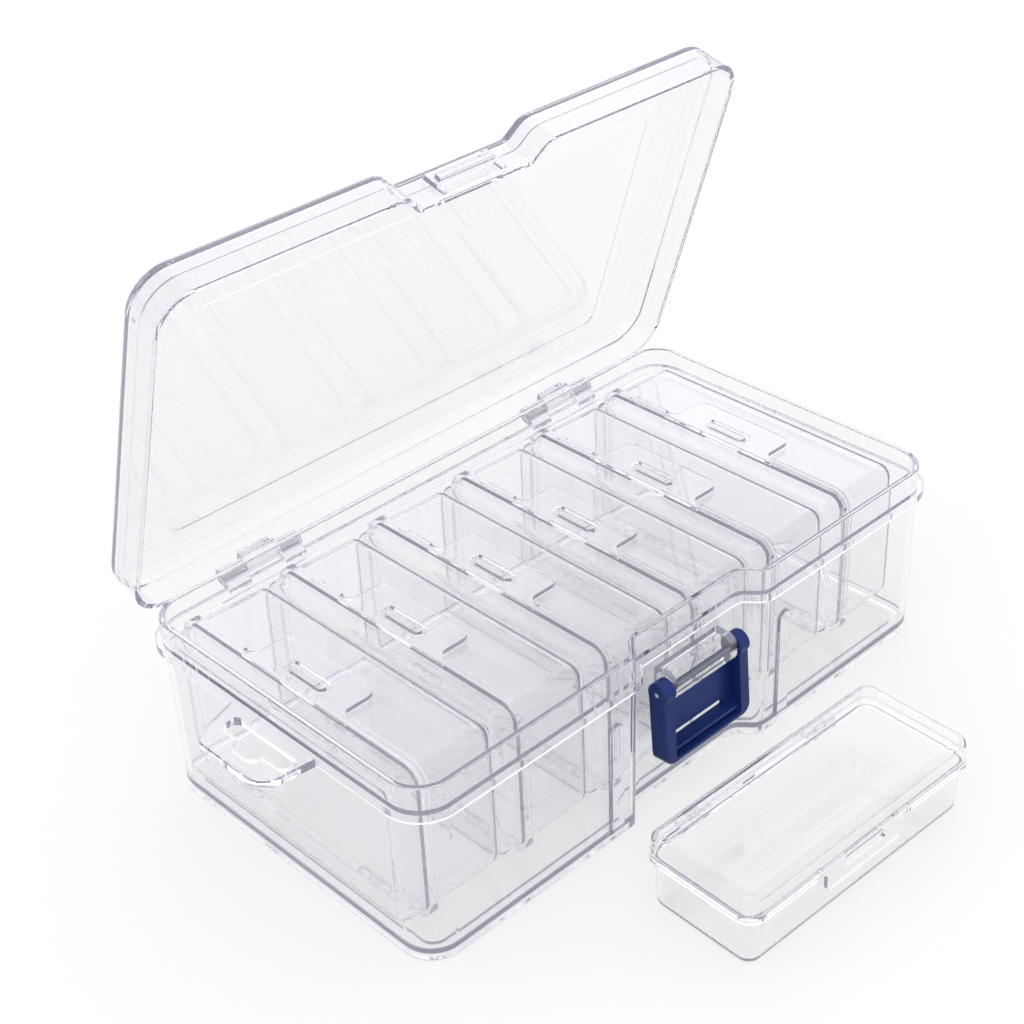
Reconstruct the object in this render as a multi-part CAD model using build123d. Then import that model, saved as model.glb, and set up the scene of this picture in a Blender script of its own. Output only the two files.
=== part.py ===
from build123d import *
import os
from math import hypot

# Compartment storage box: a clear case with a hinged lid and a blue latch, six clear
# boxes standing in it and a seventh, smaller one lying in front. Millimetres, +Z up,
# origin in the middle of the case at the surface it stands on, +X along its length,
# -Y towards the latch.

# Case
CASE_L = 220.0            # outside of the upright band, along X
CASE_W = 119.0            # outside of the upright band, along Y
CASE_H = 62.3             # ground to rim
CORNER_R = 11.0
WALL = 1.8
DRAFT_IN = 0.5            # how far the wall has moved in at the ground
FLOOR_TOP = 3.4
FOOT_W = 3.0              # ground to the groove round the underside
GROOVE_W = 3.0
GROOVE_H = 1.2
RIM_ROUND = 0.4
LEAST_R = 1.0             # no corner of the outline is sharper

# Flange the lid sits on
FLANGE_OUT = 2.0
FLANGE_T = 3.4
LEDGE_DROP = 7.3          # from the rim down to the ledge
FLANGE_ROUND = 0.6

# Bay in the middle of the front wall, where the latch works
BAY_D = 6.4
BAY_HALF_OUT = 28.0
BAY_HALF_IN = 22.4
BAY_R = 5.0

# Rounded ribs beside the bay
RIB_X = 36.9
RIB_W = 5.5
RIB_OUT = 0.9
RIB_TOP = 43.5
RIB_FOOT = 4.0

# Hanging tab at the left end
TAB_REACH = 17.2          # beyond the flange
TAB_T = 2.8
TAB_Y = -3.5              # middle of the tab's outer edge
TAB_W = 30.0
TAB_FLARE_REAR = 6.0
TAB_FLARE_FRONT = 2.0
TAB_R = 6.5
HANG_W = 28.0
HANG_ARM = 6.2
HANG_BUMP_W = 10.4
HANG_BUMP = 3.6           # how much the bump adds to the arm
HANG_FROM_FLANGE = 2.8

# Lid
LID_D = 14.3
LID_T = 2.0
LID_DRAFT = 0.8
LID_GAP = 0.3             # skirt to the upright band
LID_REST = 0.1            # rim to the ledge
LID_STEP = 0.9            # the skirt is thicker by this above the band
LID_EDGE_R = 2.4
PANEL_L = 180.0
PANEL_W = 88.0
PANEL_Y = 5.0
PANEL_R = 4.5
PANEL_DEEP = 0.6
LID_OPEN = 71.8           # degrees from closed, as photographed

# Main hinge
HINGE_BACK = 2.9          # axis behind the flange
HINGE_UP = 1.0            # axis above the ledge
HINGE_X = 64.5
HINGE_W = 29.4
KNUCKLE_R = 2.4
KNUCKLE_W = 8.0
KNUCKLE_GAP = 0.3
PIN_R = 1.0
RUN_FIT = 0.05

# Latch, drawn hanging straight down from its pivot
LATCH_W = 37.3
LATCH_EAR_T = 4.6
LATCH_EAR_R = 3.7
LATCH_DROP = 25.0
LATCH_FRONT = 2.75        # frame in front of the pivot
LATCH_BACK = 3.0          # frame behind the pivot
LATCH_WEB = 1.7
LATCH_CORNER_R = 3.6
LATCH_RAIL = 4.2
LATCH_RIM = 1.4
LATCH_SLOT_W = 22.0
LATCH_SLOT_H = 2.9
LATCH_SLOT_AT = 17.7      # pivot to the slot's near edge
LATCH_RIDGE_T = 1.1
LATCH_RIDGE_OUT = 3.0
LATCH_TILT = 4.0          # degrees it hangs outward
PIVOT_Z = 42.2
PIVOT_FRONT = 5.3         # pivot in front of the bay's face
LATCH_PIN_R = 0.8

# Lug on the case that the latch swings on
LUG_GAP = 0.25
LUG_NOSE = 2.5            # in front of the pivot
LUG_DOWN = 4.9
LUG_UP = 4.8
LUG_R = 3.6
LUG_WALL = 1.5
LUG_END = 2.2

# Catch on the lid's front
CATCH_W = 21.2
CATCH_OUT = 2.75
CATCH_LIP = 2.3
CATCH_FIT = 0.3           # lip to the slot's far edge
CATCH_POST_W = 1.5
CATCH_POST_OUT = 1.2

# Boxes that stand in the case
BOX_COUNT = 6
BOX_GAP = 0.5
BOX_END_GAP = 0.5
BOX_SIDE_GAP = 2.0
BOX_BELOW_RIM = 3.6
BOX_LID_T = 8.8
BOX_FLAP_L = 14.3
BOX_FLAP_W = 38.5
BOX_FLAP_X = 1.6          # the flap's middle, off the middle of the box
BOX_FLAP_R = 4.0
BOX_SLOT_AT = 4.8
BOX_SLOT_H = 5.4

# Loose box lying in front
LOOSE_L = 96.9
LOOSE_W = 40.9
LOOSE_T = 26.4
LOOSE_LID_T = 7.8
LOOSE_LID_RIM = 0.5       # how far the lid's rim stands out from its walls
LOOSE_TRAY_RIM = 1.6
LOOSE_FLAP_L = 8.2
LOOSE_FLAP_W = 32.0
LOOSE_FLAP_X = -1.3
LOOSE_FLAP_R = 1.8
LOOSE_SLOT_AT = 2.4
LOOSE_SLOT_H = 3.6
LOOSE_X = -2.9
LOOSE_Y = -103.3
LOOSE_TURN = -1.6

# Sizes all seven boxes share
SHELL = 1.2
BOX_FLOOR = 1.4
BOX_RIM = 1.6             # how far the standing boxes' rims stand out from the walls
BOX_RIM_T = 1.5
BOX_R = 4.6
BOX_DRAFT = 0.5
BOX_FOOT_R = 2.6
BOX_PART_GAP = 0.1        # between tray rim and lid rim
FLAP_T = 1.25
FLAP_FLARE = 3.5
FLAP_FLARE_L = 2.4
FLAP_ROOT_R = 1.2
FLAP_SIDE_GAP = 0.5       # between the flap's root and the tray's rim
FLAP_BACK_GAP = 0.35      # between the flap and the tray's rim behind it
SLOT_W = 18.2
NUB_W = 15.0
NUB_H = 2.4
NUB_SHORT = 0.1           # how far a nub ends before the face it comes up to
BARREL_R = 1.3
BARREL_OUT = 1.9          # axis outside the lid's rear wall
BARREL_SPAN = 0.56        # distance between the two hinges as a share of the length
BARREL_W = 12.0
BARREL_END = 3.6
BARREL_GAP = 0.3
STUB_R = 0.6

# Values that follow from the sizes above
HALF_L = CASE_L / 2
HALF_W = CASE_W / 2
LEDGE_Z = CASE_H - LEDGE_DROP
FLANGE_Z = LEDGE_Z - FLANGE_T
LID_Z = LEDGE_Z + LID_REST
LID_TOP = LEDGE_Z + LID_D
AXIS_Y = HALF_W + FLANGE_OUT + HINGE_BACK
AXIS_Z = LEDGE_Z + HINGE_UP
BAY_Y = -HALF_W + BAY_D
PIVOT_Y = BAY_Y - PIVOT_FRONT
LUG_HALF = LATCH_W / 2 - LATCH_EAR_T - LUG_GAP
BOX_PITCH = (CASE_L - 2 * (WALL + DRAFT_IN + BOX_END_GAP) + BOX_GAP) / BOX_COUNT
BOX_T = BOX_PITCH - BOX_GAP
BOX_FRONT_Y = BAY_Y + WALL + DRAFT_IN + BOX_SIDE_GAP
BOX_BACK_Y = HALF_W - WALL - DRAFT_IN - BOX_SIDE_GAP
BOX_L = BOX_BACK_Y - BOX_FRONT_Y
BOX_Y = (BOX_BACK_Y + BOX_FRONT_Y) / 2
BARREL_BELOW = BARREL_OUT - BOX_RIM + BARREL_R
BOX_W = CASE_H - FLOOR_TOP - BOX_BELOW_RIM - BARREL_BELOW


def mitred(points, grow):
    """The polygon with every side moved outward by grow; points run anticlockwise."""
    moved = []
    count = len(points)
    for i in range(count):
        before, here, after = points[i - 1], points[i], points[(i + 1) % count]
        normals = []
        for start, end in ((before, here), (here, after)):
            dx, dy = end[0] - start[0], end[1] - start[1]
            size = hypot(dx, dy)
            normals.append((dy / size, -dx / size))
        (ax, ay), (bx, by) = normals
        share = grow / (1 + ax * bx + ay * by)
        moved.append((here[0] + (ax + bx) * share, here[1] + (ay + by) * share))
    return moved


def rounded(points, radii):
    """A face with the given corners, each rounded by its own radius or sharp at 0."""
    face = make_face(Polyline(*points, close=True))
    for radius in sorted(set(radii) - {0}):
        chosen = []
        for point, wanted in zip(points, radii):
            if wanted == radius:
                spot = Vector(point[0], point[1], 0)
                chosen.append(min(face.vertices(), key=lambda v: (v.center() - spot).length))
        face = fillet(chosen, radius)
    return face


def outline(grow):
    """The case seen from above with its bay, moved outward by grow."""
    corners = [
        (-HALF_L, -HALF_W),
        (-BAY_HALF_OUT, -HALF_W),
        (-BAY_HALF_IN, BAY_Y),
        (BAY_HALF_IN, BAY_Y),
        (BAY_HALF_OUT, -HALF_W),
        (HALF_L, -HALF_W),
        (HALF_L, HALF_W),
        (-HALF_L, HALF_W),
    ]
    radii = [max(CORNER_R + grow, LEAST_R)] * len(corners)
    radii[1] = radii[4] = max(BAY_R + grow, LEAST_R)
    radii[2] = radii[3] = max(BAY_R - grow, LEAST_R)
    return rounded(mitred(corners, grow), radii)


def drafted(grow_low, grow_high, z_low, z_high):
    """A body between two sizes of the case outline."""
    low = Pos(0, 0, z_low) * outline(grow_low)
    high = Pos(0, 0, z_high) * outline(grow_high)
    return loft([low, high], ruled=True)


def level_edges(part, z):
    return part.edges().filter_by_position(Axis.Z, z - 0.01, z + 0.01)


def across(face, half):
    """A face drawn in Y and Z, made as wide as 2 * half along X about the middle."""
    return Pos(-half, 0, 0) * extrude(Plane.YZ * face, 2 * half)


def round_bar(radius, length, y, z):
    """A round bar along X."""
    return Pos(0, y, z) * Rot(0, 90, 0) * Cylinder(radius, length)


# Case with its flange, hanging tab, ribs, hinge knuckles and latch lug
def case_walls():
    outer = drafted(-DRAFT_IN, 0, 0, FLANGE_Z)
    outer = fillet(level_edges(outer, 0), RIM_ROUND)
    outer += Pos(0, 0, FLANGE_Z) * extrude(outline(0), CASE_H - FLANGE_Z)
    flange = Pos(0, 0, FLANGE_Z) * extrude(outline(FLANGE_OUT), FLANGE_T)
    flange = fillet(level_edges(flange, FLANGE_Z), FLANGE_ROUND)
    hollow = drafted(-DRAFT_IN - WALL, -WALL, FLOOR_TOP, CASE_H)
    hollow = fillet(level_edges(hollow, FLOOR_TOP), WALL / 2)
    groove = extrude(outline(-DRAFT_IN - FOOT_W), GROOVE_H)
    groove -= extrude(outline(-DRAFT_IN - FOOT_W - GROOVE_W), GROOVE_H)
    walls = outer + flange - hollow - groove
    return fillet(level_edges(walls, CASE_H), RIM_ROUND)


def hanging_tab():
    root = -HALF_L - FLANGE_OUT
    tip = root - TAB_REACH
    rear = TAB_Y + TAB_W / 2
    front = TAB_Y - TAB_W / 2
    plate = rounded(
        [(root + FLANGE_OUT, front - TAB_FLARE_FRONT), (root + FLANGE_OUT, rear + TAB_FLARE_REAR),
         (tip, rear), (tip, front)],
        [0, 0, TAB_R, TAB_R],
    )
    arm_x = root - HANG_FROM_FLANGE - HANG_ARM / 2
    arm = Pos(arm_x, TAB_Y) * RectangleRounded(HANG_ARM, HANG_W, HANG_ARM * 0.42)
    bump_l = HANG_ARM + HANG_BUMP
    bump = RectangleRounded(bump_l, HANG_BUMP_W, HANG_BUMP * 0.9)
    slot = arm + Pos(arm_x - HANG_BUMP / 2, TAB_Y) * bump
    tab = extrude(plate, TAB_T)
    tab = chamfer(level_edges(tab, 0) + level_edges(tab, TAB_T), RIM_ROUND)
    tab -= extrude(slot, TAB_T)
    return Pos(0, 0, FLANGE_Z) * tab


def front_rib(side):
    radius = RIB_W / 2
    height = RIB_TOP - radius - RIB_FOOT
    face = Pos(0, RIB_FOOT + height / 2) * Rectangle(RIB_W, height)
    face += Pos(0, RIB_TOP - radius) * Circle(radius)
    depth = RIB_OUT + WALL / 2
    rib = extrude(Plane.XZ * face, depth)
    rib = chamfer(rib.faces().sort_by(Axis.Y)[0].edges(), RIM_ROUND)
    return Pos(side * RIB_X, -HALF_W + WALL / 2, 0) * rib


def case_knuckle_face():
    """Knuckle with the arm that joins it to the flange, in Y and Z."""
    edge = AXIS_Y - HINGE_BACK
    root = edge - FLANGE_OUT / 2
    low = FLANGE_Z + FLANGE_T * 0.1
    high = LEDGE_Z - 2 * LID_REST
    arm = Polyline(
        (root, low),
        (AXIS_Y + KNUCKLE_R * 0.75, AXIS_Z - KNUCKLE_R * 0.66),
        (AXIS_Y, AXIS_Z),
        (AXIS_Y - KNUCKLE_R * 0.95, AXIS_Z - KNUCKLE_R * 0.31),
        (edge + LID_REST, high),
        (root, high),
        close=True,
    )
    return make_face(arm) + Pos(AXIS_Y, AXIS_Z) * Circle(KNUCKLE_R)


def case_knuckles(side):
    knuckle = across(case_knuckle_face(), KNUCKLE_W / 2)
    shift = (HINGE_W - KNUCKLE_W) / 2
    pair = Pos(-shift, 0, 0) * knuckle + Pos(shift, 0, 0) * knuckle
    pair -= round_bar(PIN_R, HINGE_W * 2, AXIS_Y, AXIS_Z)
    return Pos(side * HINGE_X, 0, 0) * pair


def latch_lug():
    """Hollow nose between the latch's ears, open below, with thick end plates."""
    front = PIVOT_Y - LUG_NOSE
    low = PIVOT_Z - LUG_DOWN
    high = PIVOT_Z + LUG_UP
    back = BAY_Y + WALL / 2
    outer = rounded(
        [(front, low), (back, low), (back, high), (front, high)],
        [LUG_R, 0, 0, LUG_R],
    )
    inner = rounded(
        [(front + LUG_WALL, low - 1), (BAY_Y, low - 1), (BAY_Y, high - LUG_WALL),
         (front + LUG_WALL, high - LUG_WALL)],
        [0, 0, LUG_R - LUG_WALL, LUG_R - LUG_WALL],
    )
    lug = across(outer, LUG_HALF) - across(inner, LUG_HALF - LUG_END)
    return lug - round_bar(LATCH_PIN_R, LATCH_W * 2, PIVOT_Y, PIVOT_Z)


def case_tub():
    tub = case_walls() + hanging_tab() + latch_lug()
    for side in (-1, 1):
        tub += front_rib(side)
        tub += case_knuckles(side)
    return tub


# Lid, drawn closed and then swung open about the main hinge
def lid_knuckle_face():
    root = AXIS_Y - HINGE_BACK - FLANGE_OUT * 0.4
    arm = Polyline(
        (root, LID_Z + LID_REST),
        (AXIS_Y - KNUCKLE_R * 0.8, AXIS_Z - KNUCKLE_R * 0.5),
        (AXIS_Y, AXIS_Z),
        (AXIS_Y - KNUCKLE_R * 0.1, AXIS_Z + KNUCKLE_R * 0.99),
        (root, AXIS_Z + KNUCKLE_R * 1.5),
        close=True,
    )
    return make_face(arm) + Pos(AXIS_Y, AXIS_Z) * Circle(KNUCKLE_R)


def catch():
    """The nose that the latch's slot goes over, with a post at each end."""
    face_y = BAY_Y - FLANGE_OUT
    root = face_y + FLANGE_OUT / 2
    top = PIVOT_Z + LATCH_SLOT_AT + LATCH_SLOT_H - CATCH_FIT
    bar_end = top + CATCH_FIT + LATCH_RIDGE_T
    tip = face_y - CATCH_OUT
    nose = Polyline(
        (root, top - CATCH_LIP),
        (tip, top - CATCH_LIP),
        (tip, top),
        (face_y - CATCH_OUT * 0.36, top),
        (face_y - CATCH_OUT * 0.1, bar_end + CATCH_LIP),
        (root, bar_end + CATCH_LIP),
        close=True,
    )
    part = across(make_face(nose), CATCH_W / 2)
    low = LID_Z + CATCH_POST_W
    high = PIVOT_Z + LATCH_DROP - LATCH_RIM - CATCH_FIT
    for side in (-1, 1):
        post = Pos(side * (CATCH_W + CATCH_POST_W) / 2, face_y, (low + high) / 2)
        part += post * Box(CATCH_POST_W, 2 * CATCH_POST_OUT, high - low)
    return part


def lid_closed():
    outer = drafted(FLANGE_OUT, FLANGE_OUT - LID_DRAFT, LID_Z, LID_TOP)
    outer = fillet(level_edges(outer, LID_TOP), LID_EDGE_R)
    step_z = CASE_H + LID_REST + LID_GAP
    inner_top = LID_TOP - LID_T
    lower = Pos(0, 0, LID_Z) * extrude(outline(LID_GAP), step_z - LID_Z)
    upper = drafted(LID_GAP - LID_STEP, LID_GAP - LID_STEP - LID_DRAFT / 2, step_z, inner_top)
    upper = fillet(level_edges(upper, inner_top), LID_EDGE_R / 2)
    cut = Pos(0, PANEL_Y, LID_TOP - PANEL_DEEP)
    panel = cut * extrude(RectangleRounded(PANEL_L, PANEL_W, PANEL_R), LID_T)
    knuckle = across(lid_knuckle_face(), HINGE_W / 2 - KNUCKLE_W - KNUCKLE_GAP)
    knuckle -= round_bar(PIN_R + RUN_FIT, HINGE_W, AXIS_Y, AXIS_Z)
    lid = outer - lower - upper - panel + catch()
    for side in (-1, 1):
        lid += Pos(side * HINGE_X, 0, 0) * knuckle
    return lid


def opened(part):
    hinge = Axis((0, AXIS_Y, AXIS_Z), (-1, 0, 0))
    return part.rotate(hinge, LID_OPEN)


def hinge_pin(side):
    pin = Rot(0, 90, 0) * Cylinder(PIN_R, HINGE_W - KNUCKLE_GAP)
    pin = chamfer(pin.edges().filter_by(GeomType.CIRCLE), PIN_R * 0.25)
    return Pos(side * HINGE_X, AXIS_Y, AXIS_Z) * pin


# Latch
def latch_hanging():
    """Ears, side rails, thin web with its slot, ridge and bottom rim; pivot at origin."""
    depth = LATCH_FRONT + LATCH_BACK
    bar_y = (LATCH_BACK - LATCH_FRONT) / 2
    inner_w = LATCH_W - 2 * LATCH_RAIL
    gap_w = LATCH_W - 2 * LATCH_EAR_T
    web_top = -(LUG_DOWN + LATCH_RIM * 0.4)
    plan = rounded(
        [(-LATCH_W / 2, 0), (-LATCH_W / 2, -LATCH_DROP), (LATCH_W / 2, -LATCH_DROP),
         (LATCH_W / 2, 0)],
        [0, LATCH_CORNER_R, LATCH_CORNER_R, 0],
    )
    frame = Pos(0, LATCH_BACK, 0) * extrude(Plane.XZ * plan, depth)
    frame = fillet(frame.faces().sort_by(Axis.Y)[0].edges().filter_by(
        lambda e: e.center().Z < -0.5), 0.7)
    ears = Rot(0, 90, 0) * Cylinder(LATCH_EAR_R, LATCH_W)
    ears = fillet(ears.edges().filter_by(GeomType.CIRCLE), 0.8)
    latch = frame + ears
    latch -= Pos(0, 0, 0) * Box(gap_w, 4 * depth, -2 * web_top)
    pocket_low = -LATCH_DROP + LATCH_RIM
    pocket_h = -pocket_low
    pocket = Box(inner_w, depth, pocket_h)
    pocket = fillet(pocket.edges().filter_by(Axis.Y), 1.2)
    web_front = LATCH_BACK - LATCH_WEB
    latch -= Pos(0, web_front - depth / 2, pocket_low / 2) * pocket
    ridge_z = -(LATCH_SLOT_AT + LATCH_SLOT_H + LATCH_RIDGE_T / 2)
    ridge = Box(inner_w + 1, LATCH_RIDGE_OUT + LATCH_WEB, LATCH_RIDGE_T)
    ridge_y = web_front - LATCH_RIDGE_OUT / 2 + LATCH_WEB / 2
    latch += Pos(0, ridge_y - 0.01, ridge_z) * ridge
    slot = Pos(0, 0, -LATCH_SLOT_AT - LATCH_SLOT_H / 2)
    latch -= slot * Box(LATCH_SLOT_W, 4 * depth, LATCH_SLOT_H)
    latch -= Rot(0, 90, 0) * Cylinder(LATCH_PIN_R + RUN_FIT, 2 * LATCH_W)
    return latch


def latch_lever():
    turned = latch_hanging().rotate(Axis.X, -LATCH_TILT)
    return Pos(0, PIVOT_Y, PIVOT_Z) * turned


def latch_pin():
    pin = Rot(0, 90, 0) * Cylinder(LATCH_PIN_R, LATCH_W - 2 * LUG_GAP)
    return Pos(0, PIVOT_Y, PIVOT_Z) * pin


# Small boxes, drawn lying with the lid on top, hinge towards +Y, flap towards -Y
class SmallBox:
    """Sizes of one kind of small box; the rims give its outline."""

    def __init__(self, length, width, height, lid_t, lid_rim, tray_rim,
                 flap_l, flap_w, flap_x, flap_r, slot_at, slot_h):
        self.length = length
        self.width = width
        self.height = height
        self.parting = height - lid_t
        self.lid_rim = lid_rim
        self.tray_rim = tray_rim
        self.flap_l = flap_l
        self.flap_w = flap_w
        self.flap_x = flap_x
        self.flap_r = flap_r
        self.slot_at = slot_at
        self.slot_h = slot_h
        self.axis_y = width / 2 - lid_rim + BARREL_OUT


def box_block(length, width, low, high, shrink, radius):
    """A block that gets narrower towards the end that is not at the parting plane."""
    wide = RectangleRounded(length, width, radius)
    slim = RectangleRounded(length - 2 * shrink, width - 2 * shrink, radius - shrink / 2)
    return loft([Pos(0, 0, low) * wide, Pos(0, 0, high) * slim], ruled=True)


def box_rim(box, low):
    """The rim round the parting plane, without the places of the two hinges."""
    outer = RectangleRounded(box.length, box.width, BOX_R + BOX_RIM)
    return Pos(0, 0, low) * extrude(outer, BOX_RIM_T) - barrel_room(box)


def hinge_places(box):
    shift = box.length * BARREL_SPAN / 2
    return [Pos(-shift, 0, 0), Pos(shift, 0, 0)]


def barrel_face(box, up):
    """Half-hinge in Y and Z: the barrel and its arm above (1) or below (-1) the plane."""
    arm = Polyline(
        (box.axis_y - BARREL_R * 1.6, box.parting + up * BOX_PART_GAP / 2),
        (box.axis_y, box.parting + up * BOX_PART_GAP / 2),
        (box.axis_y + BARREL_R * 0.9, box.parting + up * BARREL_R * 0.43),
        (box.axis_y - BARREL_R * 1.6, box.parting + up * BOX_RIM_T),
        close=True,
    )
    return make_face(arm) + Pos(box.axis_y, box.parting) * Circle(BARREL_R)


def barrel_room(box):
    """What the rims leave free for the two hinges."""
    long_bar = BARREL_W + 2 * BARREL_GAP
    room = round_bar(BARREL_R + BARREL_GAP, long_bar, box.axis_y, box.parting)
    first, second = hinge_places(box)
    return first * room + second * room


def box_tray(box, nub_out):
    top = box.parting - BOX_PART_GAP / 2
    wall_l = box.length - 2 * box.tray_rim
    wall_w = box.width - 2 * box.tray_rim
    body = box_block(wall_l, wall_w, top, 0, BOX_DRAFT, BOX_R)
    body = fillet(level_edges(body, 0), BOX_FOOT_R)
    rim = box_rim(box, top - BOX_RIM_T)
    gap = Box(
        box.flap_w + 2 * (FLAP_FLARE + FLAP_SIDE_GAP),
        2 * (FLAP_T + FLAP_BACK_GAP),
        4 * BOX_RIM_T,
    )
    rim -= Pos(box.flap_x, -box.width / 2, top) * gap
    hollow = box_block(wall_l - 2 * SHELL, wall_w - 2 * SHELL, top, BOX_FLOOR, BOX_DRAFT,
                       BOX_R - SHELL)
    hollow = fillet(level_edges(hollow, BOX_FLOOR), BOX_FOOT_R - SHELL)
    nub = extrude(Plane.XZ * SlotOverall(NUB_W, NUB_H), nub_out + SHELL / 2)
    nub = Pos(box.flap_x, -wall_w / 2 + SHELL / 2, box.parting - box.slot_at) * nub
    arm = across(barrel_face(box, -1), BARREL_END / 2)
    shift = (BARREL_W - BARREL_END) / 2
    hinge = Pos(-shift, 0, 0) * arm + Pos(shift, 0, 0) * arm
    hinge += round_bar(STUB_R, BARREL_W - BARREL_END, box.axis_y, box.parting)
    tray = body + rim - hollow + nub
    for place in hinge_places(box):
        tray += place * hinge
    return tray


def flap(box):
    """The lid's front flap with its slot, in X and Z."""
    half = box.flap_w / 2
    top = box.parting + BOX_RIM_T
    low = box.parting - box.flap_l
    corners = [
        (-half, low),
        (half, low),
        (half, box.parting - FLAP_FLARE_L),
        (half + FLAP_FLARE, box.parting),
        (half + FLAP_FLARE, top),
        (-half - FLAP_FLARE, top),
        (-half - FLAP_FLARE, box.parting),
        (-half, box.parting - FLAP_FLARE_L),
    ]
    plate = rounded(
        corners, [box.flap_r, box.flap_r, FLAP_ROOT_R, 0, 0, 0, 0, FLAP_ROOT_R])
    plate -= Pos(0, box.parting - box.slot_at) * SlotOverall(SLOT_W, box.slot_h)
    solid = extrude(Plane.XZ * plate, FLAP_T)
    return Pos(box.flap_x, -box.width / 2 + FLAP_T, 0) * solid


def box_lid(box):
    low = box.parting + BOX_PART_GAP / 2
    wall_l = box.length - 2 * box.lid_rim
    wall_w = box.width - 2 * box.lid_rim
    body = box_block(wall_l, wall_w, low, box.height, BOX_DRAFT, BOX_R)
    body = fillet(level_edges(body, box.height), BOX_FOOT_R)
    hollow = box_block(wall_l - 2 * SHELL, wall_w - 2 * SHELL, low, box.height - SHELL,
                       BOX_DRAFT, BOX_R - SHELL)
    hollow = fillet(level_edges(hollow, box.height - SHELL), BOX_FOOT_R - SHELL)
    knuckle_w = BARREL_W - 2 * BARREL_END - 2 * BARREL_GAP
    knuckle = across(barrel_face(box, 1), knuckle_w / 2)
    knuckle -= round_bar(STUB_R + RUN_FIT, BARREL_W, box.axis_y, box.parting)
    lid = body + box_rim(box, low) - hollow + flap(box)
    for place in hinge_places(box):
        lid += place * knuckle
    return lid


def standing(index):
    """Where the box with this number stands: flap up, lid towards -X."""
    x = (index - (BOX_COUNT - 1) / 2) * BOX_PITCH
    z = FLOOR_TOP + BARREL_BELOW + BOX_W / 2
    spot = Plane(origin=(x + BOX_T / 2, BOX_Y, z), x_dir=(0, 1, 0), z_dir=(-1, 0, 0))
    return spot.location


def main():
    parts = {
        "case_tub": case_tub(),
        "lid_shell": opened(lid_closed()),
        "hinge_pin_left": hinge_pin(-1),
        "hinge_pin_right": hinge_pin(1),
        "latch_lever": latch_lever(),
        "latch_pin": latch_pin(),
    }
    upright = SmallBox(BOX_L, BOX_W, BOX_T, BOX_LID_T, BOX_RIM, BOX_RIM,
                       BOX_FLAP_L, BOX_FLAP_W, BOX_FLAP_X, BOX_FLAP_R,
                       BOX_SLOT_AT, BOX_SLOT_H)
    tray = box_tray(upright, BOX_RIM - NUB_SHORT)
    lid = box_lid(upright)
    for index in range(BOX_COUNT):
        place = standing(index)
        parts[f"box_{index + 1}_tray"] = place * tray
        parts[f"box_{index + 1}_lid"] = place * lid
    lying = SmallBox(LOOSE_L, LOOSE_W, LOOSE_T, LOOSE_LID_T, LOOSE_LID_RIM, LOOSE_TRAY_RIM,
                     LOOSE_FLAP_L, LOOSE_FLAP_W, LOOSE_FLAP_X, LOOSE_FLAP_R,
                     LOOSE_SLOT_AT, LOOSE_SLOT_H)
    spot = Pos(LOOSE_X, LOOSE_Y, 0) * Rot(0, 0, LOOSE_TURN)
    parts["loose_box_tray"] = spot * box_tray(lying, LOOSE_TRAY_RIM - FLAP_T - NUB_SHORT)
    parts["loose_box_lid"] = spot * box_lid(lying)
    os.makedirs("parts", exist_ok=True)
    for name, part in parts.items():
        part.label = name
        export_step(part, f"parts/{name}.step")


main()
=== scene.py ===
import bpy
from math import radians
from mathutils import Euler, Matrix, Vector


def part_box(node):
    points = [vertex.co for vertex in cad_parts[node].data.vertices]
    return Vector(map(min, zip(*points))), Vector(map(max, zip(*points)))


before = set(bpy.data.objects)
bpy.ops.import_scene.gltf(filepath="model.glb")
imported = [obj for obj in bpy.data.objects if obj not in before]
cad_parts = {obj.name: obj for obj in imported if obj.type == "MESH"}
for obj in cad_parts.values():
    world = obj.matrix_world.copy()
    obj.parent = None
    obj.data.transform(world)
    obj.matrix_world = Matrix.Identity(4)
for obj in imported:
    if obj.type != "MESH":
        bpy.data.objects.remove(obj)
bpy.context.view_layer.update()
scene = bpy.context.scene
scene.view_settings.view_transform = "Standard"

# Light paths long enough for a camera ray to pass every clear wall in line
PATH_STEPS = 28
PATH_TURNS = 8
scene.cycles.max_bounces = PATH_STEPS
scene.cycles.transmission_bounces = PATH_STEPS
scene.cycles.glossy_bounces = PATH_TURNS
scene.cycles.diffuse_bounces = 2

# Clear plastic
STYRENE_IOR = 1.5
STYRENE_CLEAR = 0.98  # the rest is a faint haze
TINT = (0.66, 0.68, 0.86)  # lavender, seen along long paths
PAINTED_GLOW_GREY = (0.165, 0.17, 0.20)  # painted glow: a pale grey that a wall gives off where it keeps a ray running on and on, standing in for the light the ray would bring out
WALL_DENSITY = 9.0
BOX_DENSITY = 5.0
GRAIN_SCALE = 420.0

# Blue plastic of the latch. Its pin is painted blue too, a painted refraction of the blue
# lever seen through the clear lug, and the pale ends of the pin are a painted highlight
NAVY_DARK = (0.008, 0.026, 0.140)
NAVY_PALE = (0.012, 0.036, 0.185)
# painted highlight: the pale grey at each end of the latch pin, and how far along the pin it
# reaches
PIN_PAINTED_HIGHLIGHT = (0.75, 0.75, 0.78)
PAINTED_HIGHLIGHT_LENGTH = 0.001

# Floor, in metres: it lies just under the object
FLOOR_HALF = 4.0
FLOOR_DROP = 0.0003
FLOOR_PAINT = (0.93, 0.93, 0.935)
FLOOR_WHITE = 0.72  # how far the floor goes to white for rays that look at it


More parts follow.
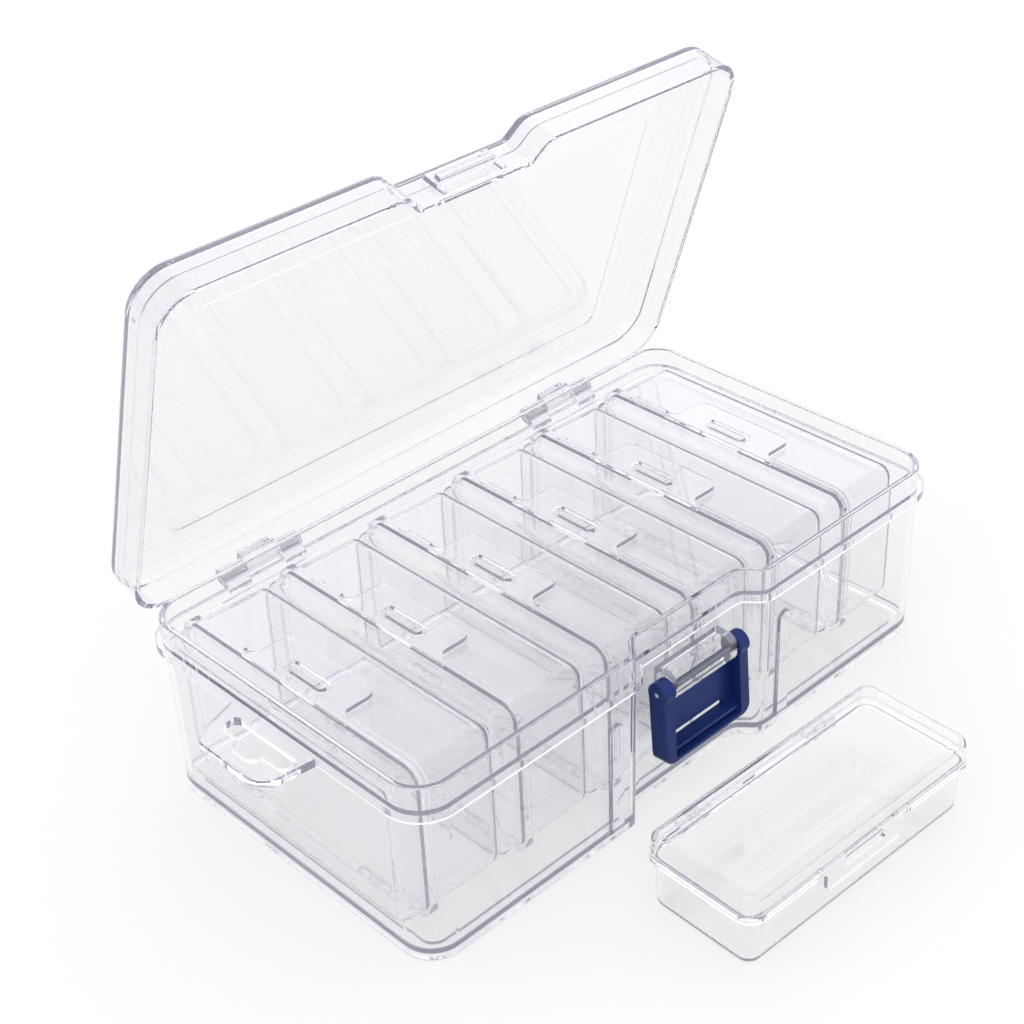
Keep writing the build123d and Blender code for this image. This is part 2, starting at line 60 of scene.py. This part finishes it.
class Tree:
    """Shorthand for building a node tree."""

    def __init__(self, tree):
        self.tree = tree
        tree.nodes.clear()

    def add(self, kind, **values):
        """A new node; each value goes to the property or the input of that name."""
        node = self.tree.nodes.new("ShaderNode" + kind)
        for key, value in values.items():
            if hasattr(node, key):
                setattr(node, key, value)
            else:
                self.put(value, node.inputs[key.replace("_", " ")])
        return node

    def put(self, value, target):
        """Give an input a plain value, or feed it from another node's output."""
        if isinstance(value, bpy.types.NodeSocket):
            self.tree.links.new(value, target)
        else:
            target.default_value = value

    def math(self, operation, first, second=0.5):
        node = self.add("Math", operation=operation)
        self.put(first, node.inputs[0])
        self.put(second, node.inputs[1])
        return node.outputs["Value"]

    def ramp(self, factor, first, *between_and_last):
        """A colour ramp through stops, each a place and a colour, in order."""
        node = self.add("ValToRGB", Fac=factor)
        stops = node.color_ramp.elements
        *between, last = between_and_last
        for stop, (place, colour) in ((stops[0], first), (stops[1], last)):
            stop.position = place
            stop.color = (*colour, 1)
        for place, colour in between:
            stops.new(place).color = (*colour, 1)
        return node.outputs["Color"]

    def mix_colour(self, factor, first, second):
        node = self.add("Mix", data_type="RGBA", Factor=factor)
        self.put(first, node.inputs[6])
        self.put(second, node.inputs[7])
        return node.outputs[2]

    def mix_shader(self, factor, first, second):
        node = self.add("MixShader", Fac=factor)
        self.put(first, node.inputs[1])
        self.put(second, node.inputs[2])
        return node.outputs["Shader"]

    def object_place(self):
        return self.add("TexCoord").outputs["Object"]

    def noise(self, place, scale, detail=2.0):
        return self.add("TexNoise", Scale=scale, Detail=detail, Vector=place).outputs["Fac"]


def new_material(name):
    material = bpy.data.materials.new(name)
    material.use_nodes = True
    return material, Tree(material.node_tree)


def clear_plastic(name, density, wave, wave_scale=18.0, passed=1.0):
    """Clear styrene: refracting, faintly tinted along long paths, moulded a little uneven,
    with a painted grey glow where a ray runs on too long.
    """
    material, t = new_material(name)
    place = t.object_place()
    flow = t.noise(place, wave_scale)
    haze = t.add("MapRange", Value=t.noise(place, GRAIN_SCALE, 3.0),
                 From_Min=0.35, From_Max=0.75, To_Min=0.0, To_Max=0.015)
    uneven = t.add("Bump", Strength=wave, Distance=0.002, Height=flow)
    shade = t.ramp(flow,
                   (0.3, [passed * level for level in (0.984, 0.986, 0.994)]),
                   (0.7, [passed] * 3))
    # A ray kept running on and on inside a wall ends there: the wall turns black and gives
    # off a painted glow in pale grey, standing in for the light the ray would bring out
    path = t.add("LightPath")
    painted_glow_mask = t.math("MAXIMUM",
                 t.math("GREATER_THAN", path.outputs["Ray Depth"], PATH_STEPS - 1),
                 t.math("GREATER_THAN", path.outputs["Glossy Depth"], PATH_TURNS - 1))
    # painted glow: where the mask is on, the base colour goes black and the pale grey
    # emission switches on
    body = t.add("BsdfPrincipled", IOR=STYRENE_IOR, Transmission_Weight=STYRENE_CLEAR,
                 Base_Color=t.mix_colour(painted_glow_mask, shade, (0, 0, 0, 1)),
                 Roughness=haze.outputs["Result"], Normal=uneven.outputs["Normal"],
                 Emission_Color=(*PAINTED_GLOW_GREY, 1), Emission_Strength=painted_glow_mask)
    tint = t.add("VolumeAbsorption", Color=(*TINT, 1), Density=density)
    t.add("OutputMaterial", Surface=body.outputs["BSDF"], Volume=tint.outputs["Volume"])
    return material


def blue_plastic(name, highlight_beyond=None):
    """Navy moulded plastic with a fine grain; past a given distance along X, in metres, it
    turns pale: a painted highlight.
    """
    material, t = new_material(name)
    place = t.object_place()
    grain = t.noise(place, 900.0, 4.0)
    paint = t.ramp(t.noise(place, 60.0), (0.3, NAVY_DARK), (0.75, NAVY_PALE))
    if highlight_beyond is not None:
        # painted highlight: the ends along X turn pale grey
        along = t.add("SeparateXYZ", Vector=place).outputs["X"]
        highlight_mask = t.math("GREATER_THAN", t.math("ABSOLUTE", along), highlight_beyond)
        paint = t.mix_colour(highlight_mask, paint, (*PIN_PAINTED_HIGHLIGHT, 1))
    bump = t.add("Bump", Strength=0.12, Distance=0.0004, Height=grain)
    rough = t.add("MapRange", Value=grain, To_Min=0.32, To_Max=0.46)
    body = t.add("BsdfPrincipled", IOR=STYRENE_IOR, Specular_IOR_Level=0.25, Base_Color=paint,
                 Roughness=rough.outputs["Result"], Normal=bump.outputs["Normal"])
    t.add("OutputMaterial", Surface=body.outputs["BSDF"])
    return material


case_plastic = clear_plastic("case_plastic", WALL_DENSITY, wave=0.010)
lid_plastic = clear_plastic("lid_plastic", WALL_DENSITY, wave=0.008, passed=0.97)
box_plastic = clear_plastic("box_plastic", BOX_DENSITY, wave=0.008, wave_scale=26.0)
pin_plastic = clear_plastic("pin_plastic", WALL_DENSITY, wave=0.005)
latch_navy = blue_plastic("latch_navy")
pin_reach = max(abs(corner[0]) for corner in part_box("latch_pin"))
# the latch pin is painted navy, standing in for the lever seen through the clear lug, with a
# painted highlight at its ends
latch_pin_painted_blue_and_highlight = blue_plastic("latch_pin_painted_blue_and_highlight", highlight_beyond=pin_reach - PAINTED_HIGHLIGHT_LENGTH)

FINISHES = {
    "case_tub": case_plastic,
    "lid_shell": lid_plastic,
    "latch_lever": latch_navy,
    "latch_pin": latch_pin_painted_blue_and_highlight,
    "hinge_pin_left": pin_plastic,
    "hinge_pin_right": pin_plastic,
}
for name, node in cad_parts.items():
    node.data.materials.clear()
    node.data.materials.append(FINISHES.get(name, box_plastic))

# Floor, white to the eye and pale to the light, so it keeps the shadow
floor_mesh = bpy.data.meshes.new("floor")
floor_mesh.from_pydata(
    [(x * FLOOR_HALF, y * FLOOR_HALF, 0) for x, y in ((-1, -1), (1, -1), (1, 1), (-1, 1))],
    [], [(0, 1, 2, 3)])
floor = bpy.data.objects.new("floor", floor_mesh)
floor.location.z = -FLOOR_DROP
scene.collection.objects.link(floor)
floor_material, t = new_material("floor")
path = t.add("LightPath")
looked_at = t.math("MAXIMUM",
                   t.math("MAXIMUM", path.outputs["Is Camera Ray"],
                          path.outputs["Is Transmission Ray"]),
                   path.outputs["Is Glossy Ray"])
matte = t.add("BsdfDiffuse", Color=(*FLOOR_PAINT, 1))
glow = t.add("Emission", Color=(1, 1, 1, 1), Strength=1.0)
t.add("OutputMaterial", Surface=t.mix_shader(
    t.math("MULTIPLY", looked_at, FLOOR_WHITE),
    matte.outputs["BSDF"], glow.outputs["Emission"]))
floor_mesh.materials.append(floor_material)

# World: a white dome with a darker band low down, which the plastic's edges pick up
world = bpy.data.worlds.new("studio")
scene.world = world
world.use_nodes = True
t = Tree(world.node_tree)
height = t.add("SeparateXYZ", Vector=t.add("TexCoord").outputs["Generated"]).outputs["Z"]
dome = t.ramp(height,
              (0.0, (0.66, 0.66, 0.80)),
              *((place, (level, level, level * 1.08))
                for place, level in ((0.10, 0.70), (0.22, 0.87), (0.36, 1.0))),
              (1.0, (1, 1, 1)))
studio = t.add("Background", Color=dome, Strength=1.0)
white = t.add("Background", Color=(1, 1, 1, 1), Strength=1.0)
t.add("OutputWorld", Surface=t.mix_shader(
    t.add("LightPath").outputs["Is Camera Ray"],
    studio.outputs["Background"], white.outputs["Background"]))


def softbox(name, place, aim, size, watts):
    data = bpy.data.lights.new(name, "AREA")
    data.shape = "RECTANGLE"
    data.size, data.size_y = size
    data.energy = watts
    lamp = bpy.data.objects.new(name, data)
    lamp.location = place
    lamp.rotation_euler = (Vector(aim) - Vector(place)).to_track_quat("-Z", "Y").to_euler()
    scene.collection.objects.link(lamp)


softbox("key", (-0.9, -0.5, 1.3), (0, 0, 0.05), (1.5, 1.5), 5.0)
softbox("rim", (0.9, 0.9, 1.1), (0, 0, 0.05), (1.4, 1.6), 3.0)

# Camera at the photograph's viewing angle
camera_data = bpy.data.cameras.new("camera")
camera_data.sensor_width = 36.0
camera_data.lens = 69.45
camera_data.clip_start = 0.01
camera = bpy.data.objects.new("camera", camera_data)
camera.location = (-0.346665, -0.356924, 0.397321)
camera.rotation_euler = Euler((radians(56.694), radians(2.287), radians(-44.193)))
scene.collection.objects.link(camera)
scene.camera = camera

bpy.context.view_layer.update()
